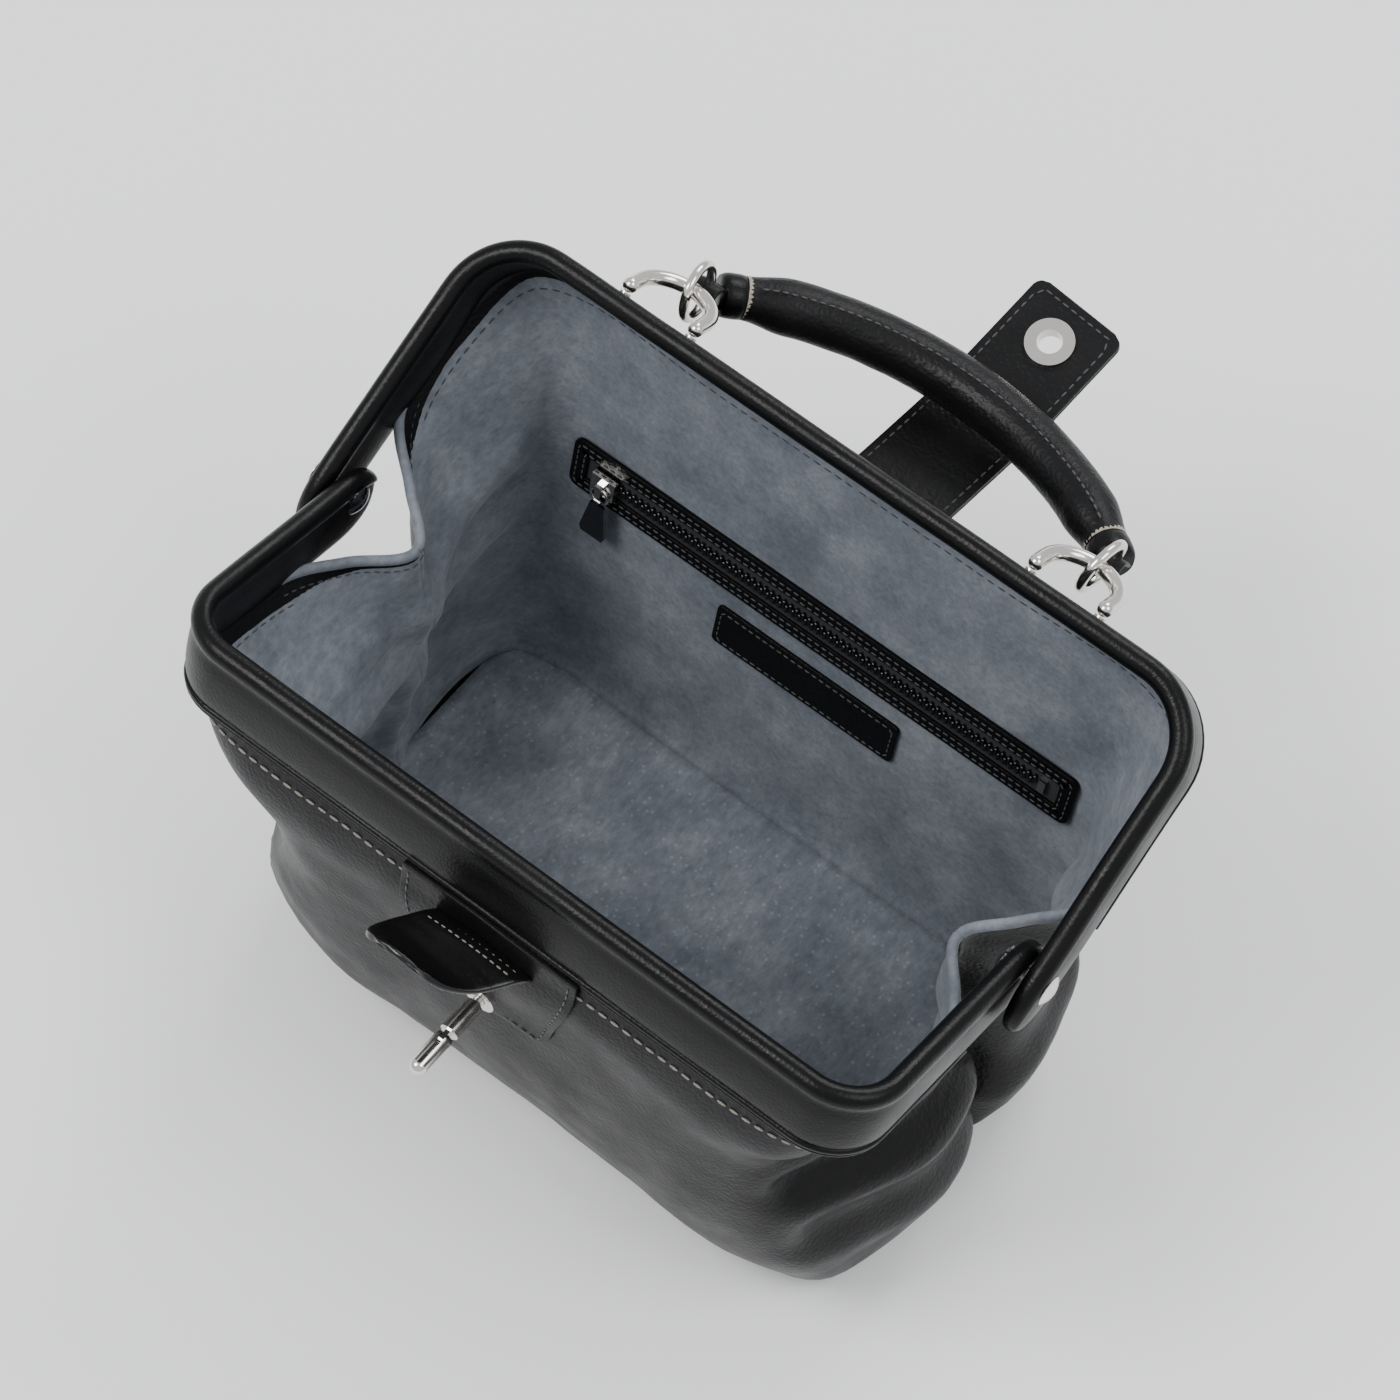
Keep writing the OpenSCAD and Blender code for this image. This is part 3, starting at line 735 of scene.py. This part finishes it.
# %% Floor and base
def rounded_oblong(half_l, half_d, front_r, z, back_r=None, right_r=None):
    """Moves a unit square's points into an oblong with round corners."""
    def place(a, t):
        sx, sy = 2 * a - 1, 2 * t - 1
        r = back_r if back_r and t > 0.5 else right_r if right_r and a > 0.5 else front_r
        p = Vector((sx * half_l, sy * half_d, z))
        over = Vector((max(abs(p.x) - half_l + r, 0), max(abs(p.y) - half_d + r, 0)))
        if over.length > r:
            over *= r / over.length
            p.x = math.copysign(half_l - r + over.x, p.x)
            p.y = math.copysign(half_d - r + over.y, p.y)
        return p
    return place


bm = bmesh.new()
sheet_grid(bm, 60, 32, rounded_oblong(113, 61.5, 38, 6.3, back_r=18, right_r=24))
bmesh.ops.translate(bm, vec=(3.5, 2, 0), verts=bm.verts)
for v in bm.verts:
    v.co.z += 0.5 * abs(noise.noise(v.co * 0.03)) - 0.5 * math.exp(-((abs(v.co.x) - 92) / 2.2) ** 2)
floor_sheet = publish("floor_suede_sheet", bm, FLOOR_SUEDE, "bag", replaces=["floor_lining"], tidy=False)
finish_with(floor_sheet, thickness=0.9, even=False)

bm = bmesh.new()
sheet_grid(bm, 40, 24, rounded_oblong(109.5, 53.5, 36, 3.0))
bmesh.ops.translate(bm, vec=(2.5, 0, 0), verts=bm.verts)
base = publish("base_sole", bm, BODY_LEATHER, "bag", replaces=["base_leather"], tidy=False)
finish_with(base, thickness=2.8, even=False)
bm = bmesh.new()
quarter = [Vector((73.5 + 36.2 * math.cos(a), 17.7 + 36.2 * math.sin(a), 1.6))
           for a in (math.pi / 2 * i / 10 for i in range(11))]
route = quarter + [Vector((-p.x, p.y, p.z)) for p in quarter[::-1]]
route += [Vector((-p.x, -p.y, p.z)) for p in quarter] + [Vector((p.x, -p.y, p.z)) for p in quarter[::-1]]
route.append(quarter[0])
sweep(bm, round_section(1.4, 12), stations_along(route, Vector((0, 0, 1))), capped=False)
bmesh.ops.translate(bm, vec=(2.5, 0, 0), verts=bm.verts)
publish("base_piping", bm, FRAME_LEATHER, "bag")
bm = bmesh.new()
sheet_grid(bm, 40, 24, rounded_oblong(106, 51, 36, 5.2))
stiffener = publish("base_stiffener", bm, BOARD, "bag", replaces=["base_board"], tidy=False)
finish_with(stiffener, thickness=1.8, even=False)

# %% [markdown]
# ## Finding the skin
# Patches and seams lie on the skins, so a ray finds where the leather is.

# %% Rays onto the skins
from mathutils.bvhtree import BVHTree


def skin_tree(inset):
    points, faces = [], []
    for side in ("left", "right"):
        start = len(points)
        across = LAST_COLUMN + 1
        points += [skin_point(side, r, c, inset) for r in range(LAST_ROW + 1) for c in range(across)]
        faces += [(start + r * across + c, start + r * across + c + 1, start + (r + 1) * across + c + 1,
                   start + (r + 1) * across + c) for r in range(LAST_ROW) for c in range(LAST_COLUMN)]
    return BVHTree.FromPolygons(points, faces)


LEATHER_TREE = skin_tree(0.0)


def front_face(x, z):
    """Point and outward normal of the front leather at x, z."""
    hit, normal, _, _ = LEATHER_TREE.ray_cast(Vector((x, -250, z)), Vector((0, 1, 0)))
    return (hit, -normal if normal.y > 0 else normal) if hit else (Vector((x, BELLY_Y, z)), Vector((0, -1, 0)))


# %% [markdown]
# ## Fittings on the front
# The toggle stands on a stitched patch. Above it a glossy pull tab comes out from under the frame and curls
# forward, so that fingers can lift the front half.

# %% Patch
PATCH_LOW, PATCH_HIGH = 107.0, 158.0


def patch_half(z):
    half = mix(24.0, 32.5, smooth((z - PATCH_LOW) / 45))
    r, d = 7.0, PATCH_LOW + 7.0 - z
    return half - r + math.sqrt(max(r * r - d * d, 0.0)) if d > 0 else half


def on_patch(x, z, lift=0.0):
    hit, normal = front_face(x, min(z, 150.0))
    raised = 1.7 + 1.2 * math.exp(-(x * x + (z - 114) ** 2) / 90)
    return Vector((x, hit.y - raised - lift + 0.10 * max(z - 150, 0), z)), normal


bm = bmesh.new()
sheet_grid(bm, 36, 30, lambda a, t: on_patch((2 * a - 1) * patch_half(mix(PATCH_LOW, PATCH_HIGH, t)),
                                             mix(PATCH_LOW, PATCH_HIGH, t))[0])
bmesh.ops.recalc_face_normals(bm, faces=bm.faces)
if sum(f.normal.y for f in bm.faces) > 0:
    bmesh.ops.reverse_faces(bm, faces=bm.faces)
patch = publish("toggle_patch_leather", bm, BODY_LEATHER, "front_wall", replaces=["toggle_patch"], tidy=False)
finish_with(patch, thickness=1.7, edge=0.5)

seam = []
for i in range(60):
    z = mix(156, PATCH_LOW + 2.6, smooth(i / 59) if i > 40 else i / 59)
    seam.append((patch_half(z) - 2.6 if z > 113 else max(patch_half(z) - 2.6, 8), z))
loop = [(x, z) for x, z in seam] + [(-x, z) for x, z in seam[::-1]]
sew("patch_stitches", [[on_patch(x, z, 0.15) for x, z in loop]], DARK_THREAD, "front_wall")

# %% Pull tab
TAB_SIDE = [(-88.2, 142.5), (-89.6, 147.0), (-94.0, 149.6), (-100.0, 150.4), (-106.4, 151.6), (-111.6, 154.6),
            (-114.6, 159.4)]
TAB_LINE = curve_through([Vector((0, y, z)) for y, z in TAB_SIDE], Vector((0, -87.6, 137)),
                         Vector((0, -117, 161.5)), [6] * 6)


def tab_half(t):
    d = t * 38.0 - 20.0
    return 3.5 + 15.0 * math.sqrt(max(1 - (d / 18.2) ** 2, 0.0)) if d > 0 else 18.5


def on_tab(a, t):
    across = 2 * a - 1
    lean = 13 * smooth(t * 1.1 - 0.1)
    crown = Vector((across * tab_half(t) - lean, 0, 1.6 * (1 - across * across) + 3 * smooth(t) * t))
    return TAB_LINE[round(t * 36)] + crown


bm = bmesh.new()
sheet_grid(bm, 18, 36, on_tab)
bmesh.ops.recalc_face_normals(bm, faces=bm.faces)
tab = publish("pull_tab_leather", bm, GLAZED_LEATHER, "front_frame", replaces=["pull_tab"], tidy=False)
finish_with(tab, thickness=2.2, offset=0.0, even=False, levels=1)
UP_AND_OUT = Vector((0, -0.4, 0.92))
rows = [[(on_tab(0.07 + 0.86 * k / 16, i / 36) + 1.35 * UP_AND_OUT, UP_AND_OUT) for k in range(17)] for i in (9, 12)]
sew("tab_stitches", rows, PALE_THREAD, "front_frame", pitch=2.6, length=1.9)

# %% [markdown]
# ## Seams under the frame
# One row of long stitches holds each skin to its half of the frame, just under the welt.

# %% Frame seams
for half, first, last, body in (("front", 0, HEM_FRONT, "front_wall"), ("back", HEM_BACK, LAST_COLUMN, "back_wall")):
    lines = [edge_run(side, first, last, down=12.2, lift=0.25) for side in ("left", "right")]
    sew(half + "_seam_outside", lines, PALE_THREAD, body, pitch=4.4, length=3.3, r=0.42)
    lines = [edge_run(side, first, last, down=9.0, inset=INSET, lift=0.1) for side in ("left", "right")]
    sew(half + "_seam_inside", lines, SUEDE_THREAD, body, pitch=4.0, length=2.9, r=0.3)
for side in ("left", "right"):
    for half, first, last, body, y in (("front", HEM_FRONT - 1, FOLD_COLUMN, "front_wall", -50),
                                       ("back", FOLD_COLUMN, HEM_BACK + 1, "back_wall", 50)):
        line = edge_run(side, first, last, down=5.0, inset=INSET, lift=0.15)
        seam = sew(side + "_hem_stitches_" + half, [line], SUEDE_THREAD, None, pitch=3.2, length=2.3, r=0.28)
        bend(seam, body)

# %% [markdown]
# ## Inside the back wall
# A leather border frames the zip pocket. The chain is two rows of small teeth that mesh, laid on woven tape.
# Under it is a blank leather label.

# %% Flat plates on the wall
WALL = (Matrix.Translation((0, WALL_KNEE_Y, WALL_KNEE_Z)) @ Matrix.Rotation(math.radians(-WALL_LEAN), 4, "X")
        @ Matrix.Translation((0, -INSET / math.cos(math.radians(WALL_LEAN)), 0)))
ZIP_Z, LABEL_Z = 86.0, 56.0


def node_size(name):
    lo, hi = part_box(name)
    return [(b - a) / MM for a, b in zip(lo, hi)]


def plate(bm, length, height, thick, r, window=None):
    """A plate with round corners, or a border when window is its width."""
    made = bmesh.ops.create_grid(bm, x_segments=1, y_segments=1, size=0.5)["verts"]
    bmesh.ops.scale(bm, vec=(length, height, 1), verts=made)
    bmesh.ops.bevel(bm, geom=made, offset=r, segments=5, affect="VERTICES", profile=0.5, material=-1)
    if window:
        bmesh.ops.inset_region(bm, faces=bm.faces[:], thickness=window, use_boundary=True,
                               use_even_offset=True)
        inner = min(bm.faces, key=lambda f: f.calc_center_median().length + (0 if len(f.verts) > 4 else 99))
        bmesh.ops.delete(bm, geom=[inner], context="FACES")
    faces = bm.faces[:]
    out = bmesh.ops.extrude_face_region(bm, geom=faces)["geom"]
    bmesh.ops.translate(bm, vec=(0, 0, thick), verts=[g for g in out if isinstance(g, bmesh.types.BMVert)])
    bmesh.ops.rotate(bm, cent=(0, 0, 0), matrix=Matrix.Rotation(math.pi / 2, 3, "X"), verts=bm.verts)


def wall_plate(name, z, length, height, thick, r, material, node, window=None, lift=0.0, x=0.0):
    bm = bmesh.new()
    plate(bm, length, height, thick, r, window)
    bmesh.ops.transform(bm, matrix=WALL @ Matrix.Translation((x, -lift, z)), verts=bm.verts)
    piece = publish(name, bm, material, "back_wall", replaces=[node] if node else (), shade_smooth=False)
    return finish_with(piece, edge=0.45)


zip_l = node_size("zip_surround")[0]
zip_h = 23.0
wall_plate("zip_border", ZIP_Z, zip_l, zip_h, 1.6, 3.5, FRAME_LEATHER, "zip_surround", window=6.0)
wall_plate("zip_tape_strips", ZIP_Z, zip_l - 9, 14.0, 0.5, 1.0, ZIP_TAPE, "zip_tapes")
label_l, label_h = node_size("label_patch")[0], 18.5
wall_plate("label_leather", LABEL_Z, label_l, label_h, 1.5, 2.0, FRAME_LEATHER, "label_patch")

# %% Zip chain
bm = bmesh.new()
tooth_step = 1.25
teeth = int((zip_l - 26) / tooth_step)
for i in range(teeth):
    row = 1 if i % 2 else -1
    x = -(zip_l - 26) / 2 + (i + 0.5) * tooth_step
    made = bmesh.ops.create_cube(bm, size=1.0)["verts"]
    bmesh.ops.scale(bm, vec=(1.0, 1.9, 3.3), verts=made)
    bmesh.ops.translate(bm, vec=(x, -1.0, ZIP_Z + row * 0.75), verts=made)
bmesh.ops.bevel(bm, geom=bm.edges[:], offset=0.22, segments=1, affect="EDGES", profile=0.5, material=-1)
bmesh.ops.transform(bm, matrix=WALL, verts=bm.verts)
publish("zip_teeth", bm, ZIP_TOOTH, "back_wall", replaces=["zip_chain"], shade_smooth=False, tidy=False)


def wall_seam(length, height, z, lift):
    n = (WALL.to_3x3() @ Vector((0, -1, 0))).normalized()
    r, out = 2.0, []
    for cx, cz, a0 in ((1, 1, 0), (-1, 1, 90), (-1, -1, 180), (1, -1, 270), (1, 1, 360)):
        turns = range(4) if a0 < 360 else (0,)
        for k in turns:
            a = math.radians(a0 + 30 * k)
            x = cx * (length / 2 - r) + r * math.cos(a)
            out.append((WALL @ Vector((x, -lift, z + cz * (height / 2 - r) + r * math.sin(a))), n))
    return out


sew("zip_border_stitches", [wall_seam(zip_l - 4, zip_h - 4, ZIP_Z, 1.7), wall_seam(zip_l - 9.4, zip_h - 9.4, ZIP_Z, 1.7)],
    DARK_THREAD, "back_wall", pitch=2.8, length=2.1, r=0.26)
sew("label_stitches", [wall_seam(label_l - 4, label_h - 4, LABEL_Z, 1.6)], DARK_THREAD, "back_wall", pitch=2.8,
    length=2.1, r=0.26)

# %% [markdown]
# ## The handle
# A cord covered in leather, thickest in its middle. Its seam is sewn along the upper side. A wrapped collar
# closes each end, and a folded leather tab holds the ring.

# %% Handle frame
RING_AT = Vector((0.0, 104.92, 195.32))
RING_SLOPE, GRIP_SLOPE = math.radians(-53), math.radians(-21.4)
GRIP_END = Vector((0.0, 115.72, 182.45))
GRIP_RISE, GRIP_HALF_SPAN, GRIP_R = 30.0, 75.0, 9.0
BOW_R = (GRIP_HALF_SPAN ** 2 + GRIP_RISE ** 2) / (2 * GRIP_RISE)
BOW_HALF = math.asin(GRIP_HALF_SPAN / BOW_R)
GRIP = (Matrix.Translation(GRIP_END) @ Matrix.Rotation(GRIP_SLOPE, 4, "X")
        @ Matrix.Translation((0, GRIP_RISE - BOW_R, 0)))


def bow_stations(from_deg, to_deg, count, size):
    """Stations on the handle's bow; degrees are measured from its middle; size is the radius there."""
    out = []
    for i in range(count + 1):
        t = i / count
        a = math.radians(mix(from_deg, to_deg, t))
        radial = Vector((math.sin(a), math.cos(a), 0))
        along = Vector((math.cos(a), -math.sin(a), 0))
        s = size(t)
        m = Matrix((radial * s, Vector((0, 0, -1)) * s, along)).transposed().to_4x4()
        out.append(GRIP @ Matrix.Translation(radial * BOW_R) @ m)
    return out


bow_deg = math.degrees(BOW_HALF)


def grip_size(t):
    end = min(t, 1 - t) * 2
    return mix(6.9, GRIP_R, smooth(end / 0.2)) + 0.12 * noise.noise(Vector((t * 18, 0, 3)))


bm = bmesh.new()
sweep(bm, round_section(1.0, 28), bow_stations(-bow_deg + 3.9, bow_deg - 3.9, 72, grip_size))
for v in bm.verts:
    v.co += 0.18 * noise.noise_vector(v.co * 0.09)
publish("handle_leather", bm, BODY_LEATHER, "handle", replaces=["handle_grip"])

bm = bmesh.new()
for s in (-1, 1):
    sweep(bm, round_section(1.0, 24), bow_stations(s * (bow_deg - 4.4), s * (bow_deg + 0.1), 6,
                                                  lambda t: 7.2 - 0.9 * (2 * t - 1) ** 4))
publish("handle_collar_wraps", bm, FRAME_LEATHER, "handle", replaces=["handle_collars"])

seam = []
for station in bow_stations(-bow_deg + 6, bow_deg - 6, 90, lambda t: grip_size(mix(0.05, 0.95, t)) + 0.12):
    up_side = Vector((-0.42, -0.907, 0))
    seam.append((station @ up_side, (station.to_3x3() @ up_side).normalized()))
sew("handle_stitches", [seam], DARK_THREAD, "handle", pitch=3.0, length=2.2, r=0.34)

# %% Handle tabs
bm = bmesh.new()
turn = Matrix.Rotation(RING_SLOPE, 4, "X")
for s in (-1, 1):
    path = [(17.0, -2.3), (13.0, -3.3)]
    path += [(8.9 + 3.55 * math.cos(a), 3.55 * math.sin(a)) for a in (math.radians(mix(-100, -260, i / 12)) for i in range(13))]
    path += [(13.0, 3.3), (17.0, 2.3)]
    at = Matrix.Translation(Vector((s * 76, RING_AT.y, RING_AT.z))) @ turn
    route = [at @ Vector((0, p, q)) for p, q in path]
    sweep(bm, [(0.8, -4), (0.8, 4), (0.4, 4.4), (-0.4, 4.4), (-0.8, 4), (-0.8, -4), (-0.4, -4.4), (0.4, -4.4)],
          stations_along(route, Vector((1, 0, 0))))
tabs = publish("handle_tab_straps", bm, BODY_LEATHER, "handle", replaces=["handle_tabs"])
finish_with(tabs, levels=1)

# %% [markdown]
# ## The closing strap
# Two layers sewn together, leather over a dull grey lining. It leaves the back wall behind the frame, runs back
# nearly level and turns up at its end, where an eyelet fits over the toggle.

# %% Strap
STRAP_W, STRAP_SKEW = 35.0, math.radians(-5.5)
STRAP_SIDE = [(83.8, 114), (85.8, 130), (88.3, 142), (92.6, 150.4), (101, 152.7), (125, 153.6), (152.4, 155.1),
              (173, 160.0), (194.6, 165.7)]
line = curve_through([Vector((0, y, z)) for y, z in STRAP_SIDE], Vector((0, 82, 100)), Vector((0, 206, 168.7)),
                     [24] * 8)
spans = [(q - p).length for p, q in zip(line, line[1:])]
STRAP_L = sum(spans)


def strap_at(s):
    """Point and normal at s mm along the strap."""
    for p, q, d in zip(line, line[1:], spans):
        if s <= d or q is line[-1]:
            along = (q - p) / d
            return p + along * s, Vector((0, -along.z, along.y))
        s -= d


def on_strap(x, s, lift):
    p, n = strap_at(s)
    p = p + n * lift + Vector((x, 0, 0))
    pivot = Vector((0, 93.5, 0))
    turn = STRAP_SKEW * smooth((p.y - 88) / 12)
    return Matrix.Translation(pivot) @ Matrix.Rotation(turn, 4, "Z") @ Matrix.Translation(-pivot) @ p


def strap_half(s):
    d = s - (STRAP_L - 4)
    return STRAP_W / 2 - 4 + math.sqrt(max(16 - d * d, 0)) if d > 0 else STRAP_W / 2


EYELET_S = STRAP_L - 15
for name, lift, material, node in (("strap_leather", 0.85, BODY_LEATHER, "strap"),
                                   ("strap_lining_leather", -0.85, STRAP_LINING, "strap_lining")):
    bm = bmesh.new()
    sheet_grid(bm, 30, 120, lambda a, t: Vector(((2 * a - 1) * strap_half(t * STRAP_L), t * STRAP_L, 0)))
    holes = [f for f in bm.faces if (f.calc_center_median() - Vector((0, EYELET_S, 0))).length < 5.4]
    bmesh.ops.delete(bm, geom=holes, context="FACES")
    for v in bm.verts:
        v.co = on_strap(v.co.x, v.co.y, lift)
    bmesh.ops.recalc_face_normals(bm, faces=bm.faces)
    strap = publish(name, bm, material, None, replaces=[node], tidy=False)
    finish_with(strap, thickness=1.6, offset=0.0, edge=0.4)
    bend(strap, "strap_body")
edge = STRAP_W / 2 - 2.6
along = [s for s in range(30, int(STRAP_L) - 5, 3)]
border = [(-edge, s) for s in along] + [(x, STRAP_L - 2.8) for x in range(-13, 14, 2)] + [(edge, s) for s in along[::-1]]
for name, lift, flip in (("strap_stitches_top", 1.75, 1), ("strap_stitches_under", -1.75, -1)):
    seam = [(on_strap(x, s, lift), strap_at(s)[1] * flip) for x, s in border]
    seam = sew(name, [seam], DARK_THREAD, None, pitch=3.4, length=2.5)
    bend(seam, "strap_body")

bm = bmesh.new()
plate(bm, 31.0, 24.0, 1.2, 3.0)
lean = Matrix.Translation((0, 85.6, 119)) @ Matrix.Rotation(math.radians(-WALL_LEAN), 4, "X")
bmesh.ops.transform(bm, matrix=lean, verts=bm.verts)
anchor = publish("strap_anchor_leather", bm, BODY_LEATHER, "back_wall", replaces=["strap_anchor"])
finish_with(anchor, edge=0.4)

# %% [markdown]
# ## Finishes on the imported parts
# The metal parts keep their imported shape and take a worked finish.

# %% Metal finishes
FINISHES = {
    NICKEL: ("rivet_shanks", "rivet_outer_heads", "handle_loops", "loop_screws", "toggle_rosette", "toggle_post",
             "toggle_pin", "toggle_tip", "zip_stops", "strap_rivets", "zip_slider", "zip_pull_ring",
             "handle_rings", "eyelet_washer"),
    DARK_NICKEL: ("rivet_inner_heads", "zip_pull"),
    STEEL: ("front_frame_core", "back_frame_core"),
    CORE_CORD: ("handle_core",)}
for material, names in FINISHES.items():
    for name in names:
        for slot in frame["nodes"][name].material_slots:
            slot.material = material
print(sum(len(names) for names in FINISHES.values()), "packed parts finished")

# %% [markdown]
# ## Floor and light
# A pale floor without texture, a bright even surround, and three large soft lamps, so that the black leather
# shows its form in broad highlights.

# %% Studio
bm = bmesh.new()
bmesh.ops.create_grid(bm, x_segments=2, y_segments=2, size=6.0)
mesh = bpy.data.meshes.new("studio_floor")
bm.to_mesh(mesh)
bm.free()
floor_material = new_material("studio_floor", Base_Color=(0.93, 0.93, 0.93, 1.0), Roughness=0.9)
mesh.materials.append(floor_material)
studio = bpy.data.objects.new("studio_floor", mesh)
bpy.context.collection.objects.link(studio)

world = bpy.data.worlds.new("surround")
world.use_nodes = True
world.node_tree.nodes["Background"].inputs["Color"].default_value = (0.95, 0.97, 1.0, 1.0)
world.node_tree.nodes["Background"].inputs["Strength"].default_value = 0.8
bpy.context.scene.world = world


def lamp(name, place, target, size, watts):
    data = bpy.data.lights.new(name, "AREA")
    data.size = size
    data.energy = watts
    light = bpy.data.objects.new(name, data)
    light.location = place
    light.rotation_euler = (Vector(target) - Vector(place)).to_track_quat("-Z", "Y").to_euler()
    bpy.context.collection.objects.link(light)


lamp("key", (-0.7, -0.9, 1.7), (0, 0, 0.1), 0.8, 26)
lamp("right", (1.2, 0.2, 1.9), (0, 0, 0.1), 1.0, 16)
lamp("back", (-0.2, 1.5, 1.5), (0, 0, 0.15), 0.9, 18)

# %% Finish
print("scene built")
